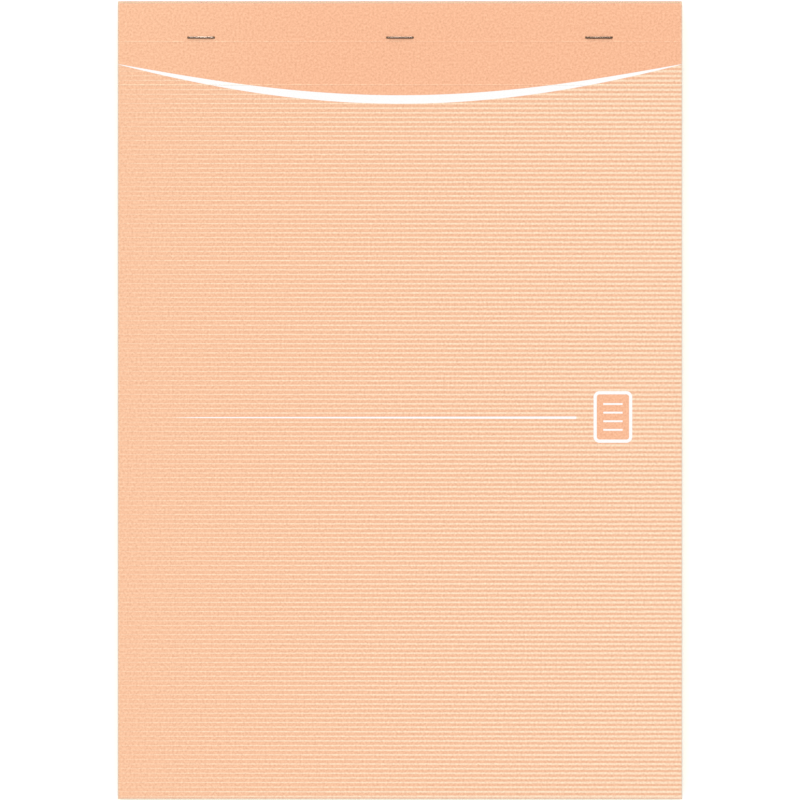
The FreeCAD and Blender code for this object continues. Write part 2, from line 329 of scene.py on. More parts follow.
# %% Draw the stripes
STRIPE_PITCH = 1.718
FIRST_STRIPE = 0.404
STRIPE_TILT = 0.07
WIDEST_SHARE = 0.5
SHARE_POWER = 0.6
SHARE_START = 2.5
STRIPE_EDGE = 0.05
WHITE_STRIPE = 90
WHITE_FROM, WHITE_TO = -87.1, 65.6
WHITE_THIN, WHITE_THICK = 0.16, 0.46
WHITE_FADE = 14.0


def draw_stripes(nodes, across, down):
    from_left = nodes.math("ADD", across, HALF_WIDTH_MM)
    part = nodes.math("DIVIDE", from_left, 2 * HALF_WIDTH_MM)
    first = nodes.math("MULTIPLY_ADD", part, STRIPE_TILT, FIRST_STRIPE)
    count = nodes.math("DIVIDE", nodes.math("SUBTRACT", down, first), STRIPE_PITCH)
    turn = nodes.math("FRACT", nodes.math("ADD", count, 0.5))
    away = nodes.math("ABSOLUTE", nodes.math("SUBTRACT", turn, 0.5))
    swell = nodes.math("DIVIDE", nodes.math("ADD", from_left, SHARE_START), 2 * HALF_WIDTH_MM)
    share = nodes.math("MULTIPLY", nodes.math("POWER", swell, SHARE_POWER), WIDEST_SHARE / 2)
    light = nodes.rise(nodes.math("SUBTRACT", share, away), -STRIPE_EDGE, STRIPE_EDGE)
    from_white = nodes.math("ABSOLUTE", nodes.math("SUBTRACT", count, WHITE_STRIPE))
    offset = nodes.math("MULTIPLY", from_white, STRIPE_PITCH)
    along = nodes.add("ShaderNodeMapRange", {"Value": across, "From Min": WHITE_FROM, "From Max": WHITE_TO,
                                             "To Min": WHITE_THIN, "To Max": WHITE_THICK})
    line = nodes.rise(nodes.math("SUBTRACT", along.outputs["Result"], offset), -INK_EDGE, INK_EDGE)
    fade = nodes.rise(across, WHITE_FROM, WHITE_FROM + WHITE_FADE)
    end = nodes.rise(nodes.math("SUBTRACT", WHITE_TO, across), -INK_EDGE, INK_EDGE)
    line = nodes.math("MULTIPLY", nodes.math("MULTIPLY", line, fade), end)
    return light, line, part


print("stripes", STRIPE_PITCH, "mm apart")

# %% [markdown]
# A small printed page.
# At the end of the white stripe the cover has a plain pictogram of a ruled page, as stationery often does.
# It is a rounded outline with four short rules in it. The outline is made from the distance to a rounded
# rectangle, which needs only the two offsets from its middle.

# %% Draw the page sign
PAGE_ACROSS, PAGE_DOWN = 79.2, 154.8
PAGE_HALF_WIDTH, PAGE_HALF_HEIGHT = 6.6, 9.0
PAGE_ROUND = 1.6
PAGE_LINE = 0.6
RULE_GAP = 3.2
RULE_HALF = 0.34
RULE_REACH = 3.6
RULE_DEPTH = 6.0


def draw_page(nodes, across, down):
    side = nodes.math("ABSOLUTE", nodes.math("SUBTRACT", across, PAGE_ACROSS))
    level = nodes.math("SUBTRACT", down, PAGE_DOWN)
    height = nodes.math("ABSOLUTE", level)
    past_side = nodes.most(nodes.math("SUBTRACT", side, PAGE_HALF_WIDTH - PAGE_ROUND), 0.0)
    past_end = nodes.most(nodes.math("SUBTRACT", height, PAGE_HALF_HEIGHT - PAGE_ROUND), 0.0)
    squares = nodes.math("ADD", nodes.math("POWER", past_side, 2.0), nodes.math("POWER", past_end, 2.0))
    reach = nodes.math("SUBTRACT", nodes.math("SQRT", squares), PAGE_ROUND)
    rim = nodes.inside(-PAGE_LINE, reach, PAGE_LINE, INK_EDGE)
    field = nodes.rise(nodes.math("MULTIPLY", reach, -1.0), -PAGE_LINE - INK_EDGE, -PAGE_LINE + INK_EDGE)
    turn = nodes.math("FRACT", nodes.math("DIVIDE", level, RULE_GAP))
    away = nodes.math("MULTIPLY", nodes.math("ABSOLUTE", nodes.math("SUBTRACT", turn, 0.5)), RULE_GAP)
    rule = nodes.rise(nodes.math("SUBTRACT", RULE_HALF, away), -INK_EDGE, INK_EDGE)
    rule = nodes.math("MULTIPLY", rule, nodes.inside(-RULE_REACH, side, RULE_REACH, INK_EDGE))
    rule = nodes.math("MULTIPLY", rule, nodes.inside(-RULE_DEPTH, height, RULE_DEPTH, INK_EDGE))
    return field, nodes.most(rim, rule)


print("page sign", 2 * PAGE_HALF_WIDTH, "by", 2 * PAGE_HALF_HEIGHT, "mm")

# %% [markdown]
# Cracks at the creases, and painted light at the creases, the head and the cut edges.
# Ink is brittle, so it splits along the top of a crease and the bare card shows there as a fine pale line.
# The same line is also a painted highlight on the lit slope of each crease, so it is strongest at the left,
# where the light comes from. The fold over the head is painted a little grey, as painted shade on the fold.
# Both are bands across the card. The line at each crease is broken up by noise. Along the sides and the
# foot, where the guillotine has cut, a greyer band is painted as the shade of the cut edge.

# %% Draw the crack line and the painted light
CREASE_DOWN = [(HEAD - crease) / MM for crease in CREASES]
# The pale crease line: split ink, and also a painted highlight on the lit slope, strongest at the left.
CRACK_AND_HIGHLIGHT_ABOVE, CRACK_AND_HIGHLIGHT_BELOW = 0.2, 0.14
CRACK_AND_HIGHLIGHT_LEFT, CRACK_AND_HIGHLIGHT_RIGHT = 0.44, 0.2
CRACK_AND_HIGHLIGHT_STRENGTHS = (1.0, 1.4)
CRACK_NOISE, CRACK_DETAIL = 700.0, 2.0
WHOLE_INK, BROKEN_INK = 0.2, 0.6
# Painted shade on the fold over the head: a grey band from just before the fold to past its start.
FOLD_SHADE_TOP, FOLD_SHADE_BOTTOM = -0.7, 0.95
FOLD_SHADE_EDGE = 0.3
FOLD_SHADE_SHARE = 0.5
# Painted shade along the cut sides and the foot.
EDGE_SHADE_WIDTH = 0.9
EDGE_SHADE_SHARE = 0.6


def draw_crack_and_painted_light(nodes, place, across, down):
    # Pale line at each crease, partly split ink and partly a painted highlight on its lit slope.
    bands = [nodes.inside(crease - CRACK_AND_HIGHLIGHT_ABOVE, down, crease + CRACK_AND_HIGHLIGHT_BELOW, INK_EDGE)
             for crease in CREASE_DOWN]
    cracks_and_highlight = nodes.most(*[nodes.math("MULTIPLY", band, share)
                          for band, share in zip(bands, CRACK_AND_HIGHLIGHT_STRENGTHS)])
    strength = nodes.add("ShaderNodeMapRange", {
        "Value": across, "From Min": -HALF_WIDTH_MM, "From Max": 0.0,
        "To Min": CRACK_AND_HIGHLIGHT_LEFT, "To Max": CRACK_AND_HIGHLIGHT_RIGHT})
    noise = nodes.add("ShaderNodeTexNoise", {"Vector": place, "Scale": CRACK_NOISE, "Detail": CRACK_DETAIL})
    broken = nodes.rise(noise.outputs["Fac"], WHOLE_INK, BROKEN_INK)
    cracks_and_highlight = nodes.math("MULTIPLY", nodes.math("MULTIPLY", cracks_and_highlight, strength.outputs["Result"]), broken)
    # Painted shade on the head fold.
    head_fold_shade = nodes.math("MULTIPLY", nodes.inside(FOLD_SHADE_TOP, down, FOLD_SHADE_BOTTOM, FOLD_SHADE_EDGE), FOLD_SHADE_SHARE)
    # Painted shade of the cut edge, along both sides and the foot.
    side = nodes.rise(nodes.math("ABSOLUTE", across), HALF_WIDTH_MM - EDGE_SHADE_WIDTH, HALF_WIDTH_MM)
    foot = nodes.rise(down, PAD_LENGTH_MM - EDGE_SHADE_WIDTH, PAD_LENGTH_MM)
    return cracks_and_highlight, head_fold_shade, nodes.math("MULTIPLY", nodes.most(side, foot), EDGE_SHADE_SHARE)


print("creases", [round(crease, 2) for crease in CREASE_DOWN], "mm below the head")

# %% [markdown]
# The three finishes of the cover card.
# The outside is printed and lightly coated, the inside is bare pale card, and the cut edge shows its pulp.
# The print is put together the way that a printer lays it down: the plain tint, the stripes below the bow,
# and the white parts, which are left out of the ink and show the card.

# %% Make the card's materials
HEAD_LEFT = screen(251, 194, 156)
HEAD_TINT = screen(250, 188.5, 150.5)
HEAD_FADE = 0.4
STRIPED_LEFT = screen(250, 196, 159)
STRIPED_RIGHT = screen(244.5, 189, 153)
LIGHT_STRIPE = screen(255, 224, 193)
BARE_WHITE = screen(254, 254, 253)
TINT_FLECK = screen(218, 152, 114)
# Pale crease line colour, also used as a painted highlight.
CRACK_AND_HIGHLIGHT = screen(255, 228, 194)
# Grey of the painted shade on the head fold.
FOLD_SHADE_GREY = screen(166, 148, 146)
# Grey of the painted shade at the cut edges.
EDGE_SHADE_GREY = screen(218, 208, 192)
PALE_CARD, PALE_FLECK = screen(238, 231, 219), screen(196, 182, 162)
PULP, PULP_FLECK = screen(232, 205, 182), screen(190, 160, 138)
CARD_GRAIN = 0.8 * MM
PAPER_SPECULAR = 0.25
PRINT_CLOUDING, PRINT_FLECKING, CLEAN_SHARE = 0.8, 0.5, 0.12
PRINT_BUMP, PRINT_ROUGHNESS = 0.012 * MM, 0.62
PALE_CLOUDING, PULP_CLOUDING, PLAIN_FLECKING = 0.16, 0.3, 0.35
PLAIN_BUMP, PLAIN_ROUGHNESS = 0.02 * MM, 0.8


def make_print_material():
    material, nodes, shader = new_material("printed_card")
    place, across, down = read_card(nodes)
    bow, below = draw_bow(nodes, across, down)
    light, line, part = draw_stripes(nodes, across, down)
    field, page = draw_page(nodes, across, down)
    ground = nodes.mix(part, STRIPED_LEFT, STRIPED_RIGHT)
    striped = nodes.mix(light, ground, LIGHT_STRIPE)
    head = nodes.mix(nodes.rise(part, 0.0, HEAD_FADE), HEAD_LEFT, HEAD_TINT)
    striped = nodes.mix(field, striped, head)
    printed = nodes.mix(below, head, striped)
    bare = nodes.most(bow, line, page)
    printed = nodes.mix(bare, printed, BARE_WHITE)
    cracks_and_highlight, head_fold_shade, cut_edge_shade = draw_crack_and_painted_light(nodes, place, across, down)
    # Pale crease line, partly split ink and partly a painted highlight on the lit slope of the crease.
    printed = nodes.mix(cracks_and_highlight, printed, CRACK_AND_HIGHLIGHT)
    # Painted shade on the head fold (inner mix) and along the cut edges (outer mix).
    printed = nodes.mix(cut_edge_shade, nodes.mix(head_fold_shade, printed, FOLD_SHADE_GREY), EDGE_SHADE_GREY)
    inked = nodes.math("MULTIPLY_ADD", bare, CLEAN_SHARE - 1, 1.0)
    finish_paper(nodes, shader, place, printed, CARD_GRAIN, tint=CLOUD_TINT, fleck_colour=TINT_FLECK,
                 clouding=nodes.math("MULTIPLY", inked, PRINT_CLOUDING),
                 flecking=nodes.math("MULTIPLY", inked, PRINT_FLECKING),
                 bump=PRINT_BUMP, roughness=PRINT_ROUGHNESS)
    shader.inputs["Specular IOR Level"].default_value = PAPER_SPECULAR
    return material


def make_plain_card(name, colour, fleck_colour, clouding):
    material, nodes, shader = new_material(name)
    place, _, _ = read_card(nodes)
    finish_paper(nodes, shader, place, colour, CARD_GRAIN, clouding=clouding, flecking=PLAIN_FLECKING,
                 fleck_colour=fleck_colour, bump=PLAIN_BUMP, roughness=PLAIN_ROUGHNESS)
    shader.inputs["Specular IOR Level"].default_value = PAPER_SPECULAR
    return material


printed_card = make_print_material()
inner_card = make_plain_card("inner_card", PALE_CARD, PALE_FLECK, PALE_CLOUDING)
card_core = make_plain_card("card_core", PULP, PULP_FLECK, PULP_CLOUDING)
print("card finishes:", printed_card.name, inner_card.name, card_core.name)

# %% [markdown]
# The cover, as a bent sheet.
# On the real pad a single piece of card covers the front, rolls over the head and ends in a tail on the
# back. One path follows it: from the foot of the front, round both folds and along the tail. Rows crowd
# together only where the card bends, at its creases, its folds and its staples. The card is divided once,
# at the edge of the crease that it turns on, because the tail lies behind that crease and must not turn
# with the front.

# %% Lay out the rows of the card
FOLD_STEPS = 12
CREASE_STEPS = 20
CREASE_HALF = 0.6 * CREASE_WIDTH
FRONT_BAYS = 12
FRONT_END = CREASES[1] - 2 * MM
SLIT_HALF = 0.38 * MM
BESIDE_STAPLE = (SLIT_HALF, *[offset * MM for offset in (0.13, 0.26, 0.49, 0.6, 0.72, 0.86, 0.98, 1.1)])
PAST_STAPLE = STAPLE_Y + 4 * MM


def around_staple():
    """Rows beside the staple line, on both sides of it and on it."""
    return [STAPLE_Y] + [STAPLE_Y + side * offset for offset in BESIDE_STAPLE for side in (-1, 1)]


def front_rows():
    rows = [FOOT + (FRONT_END - FOOT) * bay / FRONT_BAYS for bay in range(FRONT_BAYS + 1)]
    for crease in CREASES:
        start = crease - CREASE_HALF
        rows += [start + 2 * CREASE_HALF * step / CREASE_STEPS for step in range(CREASE_STEPS + 1)]
    rows += around_staple() + [PAST_STAPLE, HEAD - HEAD_FOLD]
    return sorted(rows)


def crease_height(y):
    away = min(abs(y - crease) for crease in CREASES)
    if away >= CREASE_WIDTH / 2:
        return 0.0
    return CREASE_RISE * math.cos(math.pi * away / CREASE_WIDTH) ** 2


def card_path():
    """Rows of the card: the length along it, y and z on its outer face, and y and z under that."""
    hollow = CARD_FACE - CARD
    path = [(y - FOOT, y, CARD_FACE + crease_height(y), y, hollow + crease_height(y) / 2)
            for y in front_rows()]
    along = path[-1][0]
    for step in range(1, FOLD_STEPS + 1):
        angle = math.pi / 2 * step / FOLD_STEPS
        ring = [(HEAD - HEAD_FOLD + radius * math.sin(angle),
                 CARD_FACE - HEAD_FOLD + radius * math.cos(angle))
                for radius in (HEAD_FOLD, HEAD_FOLD - CARD)]
        path.append((along + HEAD_FOLD * angle, *ring[0], *ring[1]))
    spine = CARD_FACE - HEAD_FOLD - TAIL_FACE - TAIL_FOLD
    along = path[-1][0] + spine
    for step in range(FOLD_STEPS + 1):
        angle = math.pi / 2 * step / FOLD_STEPS
        ring = [(HEAD - TAIL_FOLD + radius * math.cos(angle),
                 TAIL_FACE + TAIL_FOLD - radius * math.sin(angle))
                for radius in (TAIL_FOLD, TAIL_FOLD - CARD)]
        path.append((along + TAIL_FOLD * angle, *ring[0], *ring[1]))
    along, tail_start = path[-1][:2]
    for y in sorted(around_staple() + [PAST_STAPLE, TAIL_END], reverse=True):
        path.append((along + tail_start - y, y, TAIL_FACE, y, TAIL_FACE + CARD))
    return path


def from_divide(row):
    """How far a row of the path lies from the crease's edge on the front."""
    _, y, z, _, _ = path[row]
    return abs(y - CREASES[0] - CREASE_HALF) + abs(z - CARD_FACE)


path = card_path()
divide = min(range(len(path)), key=from_divide)
front_path, head_path = path[:divide + 1], path[divide:]
print("card path:", len(front_path), "and", len(head_path), "rows,", round(path[-1][0] / MM, 2), "mm long")

# %% [markdown]
# Where the staples bite.
# A staple is driven through the card and pulled tight, so its wire sinks in and the card rises beside it.
# The columns of the grid crowd at each staple, the leg slits are faces that are left out,
# and the dip, with its low lip, is a smooth function of how far a point lies from the wire.
# The inner face is the same grid under the outer one, held flat on the sheets, because card is squeezed
# under a staple and not pushed into them. Each open edge of the grid gets a face to close the rim.

# %% Build the card
DENT_DEPTH = 0.2 * MM
DENT_CORE, DENT_REACH = 0.28 * MM, 0.42 * MM
LIP_RISE = 0.03 * MM
LIP_MIDDLE, LIP_REACH = 0.72 * MM, 0.36 * MM
LEG_SIDES = (-1, 1)
COLUMN_OFFSETS = (4.0, 4.37, 5.13, 5.3, 5.47, 5.7, 5.85)


def smooth(share):
    share = min(1.0, max(0.0, share))
    return share * share * (3 - 2 * share)


def nearest_staple(x):
    return min(STAPLE_X, key=lambda middle: abs(middle - x))


def dent(x, y):
    """How deep the card dips at this place under a crown or a turned-in leg."""
    beyond = max(0.0, abs(x - nearest_staple(x)) - LEG)
    away = math.hypot(beyond, y - STAPLE_Y)
    dip = DENT_DEPTH * (1 - smooth((away - DENT_CORE) / (DENT_REACH - DENT_CORE)))
    return dip - LIP_RISE * smooth(1 - abs(away - LIP_MIDDLE) / LIP_REACH)


def is_slit(x, y):
    if abs(y - STAPLE_Y) > SLIT_HALF:
        return False
    return any(abs(x - middle - side * LEG) < SLIT_HALF for middle in STAPLE_X for side in LEG_SIDES)


around_legs = [side * offset * MM for offset in COLUMN_OFFSETS for side in LEG_SIDES]
COLUMNS = sorted([-EDGE, EDGE] + [middle + offset for middle in STAPLE_X for offset in [0.0, *around_legs]])
OUTSIDE, INSIDE, RIM = 0, 1, 2


def grid_faces(rows):
    """The cells of the outer face that aren't leg slits."""
    width = len(COLUMNS)
    faces = []
    for row in range(len(rows) - 1):
        middle_y = (rows[row][1] + rows[row + 1][1]) / 2
        for column in range(width - 1):
            if not is_slit((COLUMNS[column] + COLUMNS[column + 1]) / 2, middle_y):
                start = row * width + column
                faces.append((start, start + 1, start + width + 1, start + width))
    return faces


def rim_faces(faces, below):
    """A face at each open edge, down to the points that lie this many places further on."""
    edges = {(face[corner - 1], face[corner]) for face in faces for corner in range(len(face))}
    return [(second, first, first + below, second + below) for first, second in sorted(edges)
            if (second, first) not in edges]


def build_card(name, rows):
    """A stretch of the card as a closed piece, with its place on the flat card as a UV map."""
    outer, inner = [], []
    for _, y, z, under_y, under_z in rows:
        sign = 1 if z > TAIL_FACE else -1
        on_face = z >= CARD_FACE or z == TAIL_FACE
        outer += [(x, y, z - sign * dent(x, y) if on_face else z) for x in COLUMNS]
        inner += [(x, under_y, under_z) for x in COLUMNS]
    faces = grid_faces(rows)
    backs = [tuple(point + len(outer) for point in reversed(face)) for face in faces]
    rim = rim_faces(faces, len(outer))
    mesh = bpy.data.meshes.new(name)
    mesh.from_pydata(outer + inner, [], faces + backs + rim)
    kinds = [OUTSIDE] * len(faces) + [INSIDE] * len(backs) + [RIM] * len(rim)
    mesh.polygons.foreach_set("material_index", kinds)
    layer = mesh.uv_layers.new(name=CARD_MAP)
    for loop in mesh.loops:
        row, column = divmod(loop.vertex_index % len(outer), len(COLUMNS))
        layer.data[loop.index].uv = (COLUMNS[column], rows[row][0])
    for material in (printed_card, inner_card, card_core):
        mesh.materials.append(material)
    return mesh


def link(name, data):
    """Puts a mesh, a light or a camera into the scene, at the origin."""
    item = bpy.data.objects.new(name, data)
    bpy.context.scene.collection.objects.link(item)
    return item


SHARP_ANGLE = math.radians(35)


def soften(piece):
    """Shades a piece smoothly, with its real edges kept sharp."""
    for face in piece.data.polygons:
        face.use_smooth = True
    piece.data.set_sharp_from_angle(angle=SHARP_ANGLE)


cover_card = link("cover_card", build_card("cover_card", front_path))
head_card = link("head_card", build_card("head_card", head_path))
for piece in (cover_card, head_card):
    soften(piece)
    print(piece.name + ":", len(piece.data.polygons), "faces")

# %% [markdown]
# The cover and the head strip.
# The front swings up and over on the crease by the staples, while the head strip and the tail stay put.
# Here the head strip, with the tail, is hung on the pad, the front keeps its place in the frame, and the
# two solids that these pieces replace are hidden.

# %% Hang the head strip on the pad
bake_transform(cover_card)
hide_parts("front_cover")
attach(head_card, "pad")
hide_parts("head_wrap")
print("cover turns at y", round(hinge.y / MM, 2), "mm")

# %% [markdown]
# The writing paper.
# Legal pads are ruled: pale blue rules across the sheet and a red double line down its left side.
# The rules are printed on the face alone, so they are masked by the direction of the surface, and only a
# trace of them is left on the cut sides, where each sheet's ink just reaches the edge.

# %% Make the writing paper
RULE_PITCH = 8.0 * MM
FIRST_RULE = hinge.y - 27.0 * MM
LAST_RULE = FOOT + 9.0 * MM
RULE_INK = 0.19 * MM
RULE_SOFT = RULE_INK / 4
MARGIN_X = -EDGE + 32.0 * MM
MARGIN_SPLIT = 0.9 * MM
PAPER_GRAIN = 0.8 * MM
PAPER_CLOUDING, PAPER_FLECKING = 0.09, 0.12
PAPER_BUMP, PAPER_ROUGHNESS = 0.01 * MM, 0.88
EDGE_TRACE = 0.25
PAPER_YELLOW, PAPER_FLECK = screen(248, 236, 164), screen(214, 196, 128)
RULE_BLUE, MARGIN_RED = screen(96, 148, 206), screen(214, 84, 88)


def make_writing_paper():
    material, nodes, shader = new_material("writing_paper")
    place = nodes.add("ShaderNodeTexCoord").outputs["Object"]
    parts = nodes.add("ShaderNodeSeparateXYZ", {"Vector": place})
    x, y = parts.outputs["X"], parts.outputs["Y"]
    count = nodes.math("DIVIDE", nodes.math("SUBTRACT", y, FIRST_RULE), RULE_PITCH)
    turn = nodes.math("FRACT", nodes.math("ADD", count, 0.5))
    away = nodes.math("MULTIPLY", nodes.math("ABSOLUTE", nodes.math("SUBTRACT", turn, 0.5)), RULE_PITCH)
    rule = nodes.rise(nodes.math("SUBTRACT", RULE_INK, away), -RULE_SOFT, RULE_SOFT)
    written = nodes.inside(LAST_RULE - RULE_PITCH / 2, y, FIRST_RULE + RULE_PITCH / 2, RULE_SOFT)
    rule = nodes.math("MULTIPLY", rule, written)
    beside = nodes.math("ABSOLUTE", nodes.math("SUBTRACT", x, MARGIN_X))
    margin = nodes.inside(MARGIN_SPLIT - RULE_INK, beside, MARGIN_SPLIT + RULE_INK, RULE_SOFT)
    normal = nodes.add("ShaderNodeNewGeometry").outputs["Normal"]
    facing = nodes.math("ABSOLUTE", nodes.add("ShaderNodeSeparateXYZ", {"Vector": normal}).outputs["Z"])
    face = nodes.add("ShaderNodeMapRange", {"Value": facing, "To Min": EDGE_TRACE})
    colour = nodes.mix(nodes.math("MULTIPLY", rule, face.outputs[0]), PAPER_YELLOW, RULE_BLUE)
    colour = nodes.mix(nodes.math("MULTIPLY", margin, face.outputs[0]), colour, MARGIN_RED)
    finish_paper(nodes, shader, place, colour, PAPER_GRAIN, clouding=PAPER_CLOUDING,
                 flecking=PAPER_FLECKING, fleck_colour=PAPER_FLECK, bump=PAPER_BUMP,
                 roughness=PAPER_ROUGHNESS)
    shader.inputs["Specular IOR Level"].default_value = PAPER_SPECULAR
    return material


writing_paper = make_writing_paper()
print("writing paper: rules every", RULE_PITCH / MM, "mm")

# %% [markdown]
# Growing pieces with Geometry Nodes.
# What repeats on the pad, its sheets, its tear slits and its staples, is grown by node trees with named
# inputs. This helper runs a tree on a start mesh, sets its inputs by their identifiers before the first
# evaluation, and keeps the result as a plain mesh.

# %% Make the growing helper
def settle(piece):
    """Turns a piece with modifiers into a plain mesh."""
    shown = piece.evaluated_get(bpy.context.evaluated_depsgraph_get())
    mesh = bpy.data.meshes.new_from_object(shown)
    piece.modifiers.clear()
    piece.data = mesh


def new_tree(name, inputs):
    """A geometry tree with these inputs, its helper and its input node."""
    tree = bpy.data.node_groups.new(name, "GeometryNodeTree")
    tree.interface.new_socket("Start", in_out="INPUT", socket_type="NodeSocketGeometry")
    for socket, kind in inputs.items():
        tree.interface.new_socket(socket, in_out="INPUT", socket_type="NodeSocket" + kind)
    tree.interface.new_socket("Result", in_out="OUTPUT", socket_type="NodeSocketGeometry")
    nodes = Nodes(tree)
    return tree, nodes, nodes.add("NodeGroupInput").outputs


def end_tree(nodes, geometry, material):
    real = nodes.add("GeometryNodeRealizeInstances", {"Geometry": geometry})
    dressed = nodes.add("GeometryNodeSetMaterial", {"Geometry": real.outputs[0], "Material": material})
    nodes.add("NodeGroupOutput", {"Result": dressed.outputs[0]})


def grow(name, tree, values, start=None):
    piece = link(name, start or bpy.data.meshes.new(name))
    modifier = piece.modifiers.new("grow", "NODES")
    modifier.node_group = tree
    for socket in tree.interface.items_tree:
        if socket.in_out == "INPUT" and socket.name in values:
            modifier[socket.identifier] = values[socket.name]
    settle(piece)
    return piece


print("growing helper ready")

# %% [markdown]
# The block of sheets.
# Eighty sheets are clamped and trimmed together, yet each lies a hair off its neighbours, which is what
# makes the side of a pad look like paper and not like a bar. The tree stacks thin boxes on a line of points
# and moves each by a small random step inside the trimmed outline. The seed is fixed, so every run is the
# same.

# %% Stack the sheets
SHEETS = 80
SHEET = (block_high.z - block_low.z) / SHEETS
SHEET_PLAY = 0.16 * MM
SHEET_FILL = 0.9
STACK_SEED = 11


def make_stack_tree():
    tree, nodes, given = new_tree("sheet_stack", {
        "Size": "Vector", "First": "Vector", "Step": "Vector", "Count": "Int", "Play": "Vector",
        "Seed": "Int", "Material": "Material"})
    points = nodes.add("GeometryNodeMeshLine", {"Count": given["Count"], "Start Location": given["First"],
                                                "Offset": given["Step"]})
    back = nodes.add("ShaderNodeVectorMath", operation="SCALE")
    nodes.feed(back.inputs[0], given["Play"])
    nodes.feed(back.inputs["Scale"], -1.0)
    shift = nodes.add("FunctionNodeRandomValue", data_type="FLOAT_VECTOR")
    nodes.feed(shift.inputs[0], back.outputs[0])
    nodes.feed(shift.inputs[1], given["Play"])
    nodes.feed(shift.inputs["Seed"], given["Seed"])
    moved = nodes.add("GeometryNodeSetPosition", {"Geometry": points.outputs[0],
                                                  "Offset": shift.outputs[0]})
    sheet = nodes.add("GeometryNodeMeshCube", {"Size": given["Size"]})
    placed = nodes.add("GeometryNodeInstanceOnPoints", {"Points": moved.outputs[0],
                                                        "Instance": sheet.outputs[0]})
    end_tree(nodes, placed.outputs[0], given["Material"])
    return tree


block_middle = (block_low + block_high) / 2
block_size = block_high - block_low
sheet_size = (block_size.x - SHEET_PLAY, block_size.y - SHEET_PLAY, SHEET * SHEET_FILL)
sheets = grow("sheets", make_stack_tree(), {
    "Size": sheet_size, "First": (block_middle.x, block_middle.y, block_low.z + SHEET / 2),
    "Step": (0, 0, SHEET), "Count": SHEETS - 1, "Play": (SHEET_PLAY / 2, SHEET_PLAY / 2, 0),
    "Seed": STACK_SEED, "Material": writing_paper})
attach(sheets, "pad")
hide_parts("sheet_block")
print("sheets:", len(sheets.data.polygons) // 6)

# %% [markdown]
# The top sheet, with its tear row.
# Below the staples a row of short slits lets a sheet come off clean. They show on the sheet on top, once
# the cover is open, so that sheet is real: a tree repeats one slit along a line and cuts the row, and the
# six holes of the staple legs, out of a thin box with Mesh Boolean.

# %% Perforate the top sheet
TEAR_Y = hinge.y - 2.4 * MM
SLIT_LENGTH, SLIT_WIDTH, SLIT_BRIDGE = 2.8 * MM, 0.2 * MM, 0.8 * MM
SLIT_PITCH = SLIT_LENGTH + SLIT_BRIDGE
SLITS = int((2 * EDGE - SLIT_BRIDGE) / SLIT_PITCH)
CUT_DEPTH = 3 * SHEET


def make_perforated_tree():
    tree, nodes, given = new_tree("perforated_sheet", {
        "Size": "Vector", "Middle": "Vector", "Slit": "Vector", "First Slit": "Vector", "Pitch": "Vector",
        "Slits": "Int", "Hole": "Vector", "Material": "Material"})
    sheet = nodes.add("GeometryNodeMeshCube", {"Size": given["Size"]})
    sheet = nodes.add("GeometryNodeTransform", {"Geometry": sheet.outputs[0],
                                                "Translation": given["Middle"]})
    row = nodes.add("GeometryNodeMeshLine", {"Count": given["Slits"], "Start Location": given["First Slit"],
                                             "Offset": given["Pitch"]})
    slit = nodes.add("GeometryNodeMeshCube", {"Size": given["Slit"]})
    slits = nodes.add("GeometryNodeInstanceOnPoints", {"Points": row.outputs[0],
                                                       "Instance": slit.outputs[0]})
    hole = nodes.add("GeometryNodeMeshCube", {"Size": given["Hole"]})
    holes = nodes.add("GeometryNodeInstanceOnPoints", {"Points": given["Start"],
                                                       "Instance": hole.outputs[0]})
    tools = nodes.add("GeometryNodeJoinGeometry")
    for part in (slits, holes):
        nodes.feed(tools.inputs[0], part.outputs[0])
    real = nodes.add("GeometryNodeRealizeInstances", {"Geometry": tools.outputs[0]})
    cut = nodes.add("GeometryNodeMeshBoolean", operation="DIFFERENCE")
    nodes.feed(cut.inputs["Mesh 1"], sheet.outputs[0])
    nodes.feed(cut.inputs["Mesh 2"], real.outputs[0])
    end_tree(nodes, cut.outputs[0], given["Material"])
    return tree


top_z = block_high.z - SHEET / 2
leg_points = [(middle + side * LEG, STAPLE_Y, top_z) for middle in STAPLE_X for side in LEG_SIDES]
leg_mesh = bpy.data.meshes.new("leg_points")
leg_mesh.from_pydata(leg_points, [], [])
top_sheet = grow("top_sheet", make_perforated_tree(), {
    "Size": sheet_size, "Middle": (block_middle.x, block_middle.y, top_z),
    "Slit": (SLIT_LENGTH, SLIT_WIDTH, CUT_DEPTH),
    "First Slit": (-(SLITS - 1) / 2 * SLIT_PITCH, TEAR_Y, top_z), "Pitch": (SLIT_PITCH, 0, 0),
    "Slits": SLITS, "Hole": (2 * SLIT_HALF, 2 * SLIT_HALF, CUT_DEPTH), "Material": writing_paper},
    start=leg_mesh)
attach(top_sheet, "pad")
print("top sheet:", SLITS, "slits,", len(top_sheet.data.polygons), "faces")

# %% [markdown]
# The greyboard back.
# It is pressed from waste paper: grey-brown, cloudy and full of fibres of other colours.
# The solid has the right shape already, so it stays and only gets its finish, from coarser fibre than
# the card. A second, wider cloud gives the patches that such board has.

# %% Finish the backboard
BOARD_GRAIN = 1.1 * MM
BOARD_CLOUDING, BOARD_FLECKING = 0.75, 0.55
BOARD_BUMP, BOARD_ROUGHNESS = 0.05 * MM, 0.9
BOARD_DARK, BOARD_PALE, BOARD_FLECK = screen(132, 124, 112), screen(164, 155, 142), screen(86, 78, 70)
PATCH_SIZE, PATCH_DETAIL = 14 * MM, 3.0


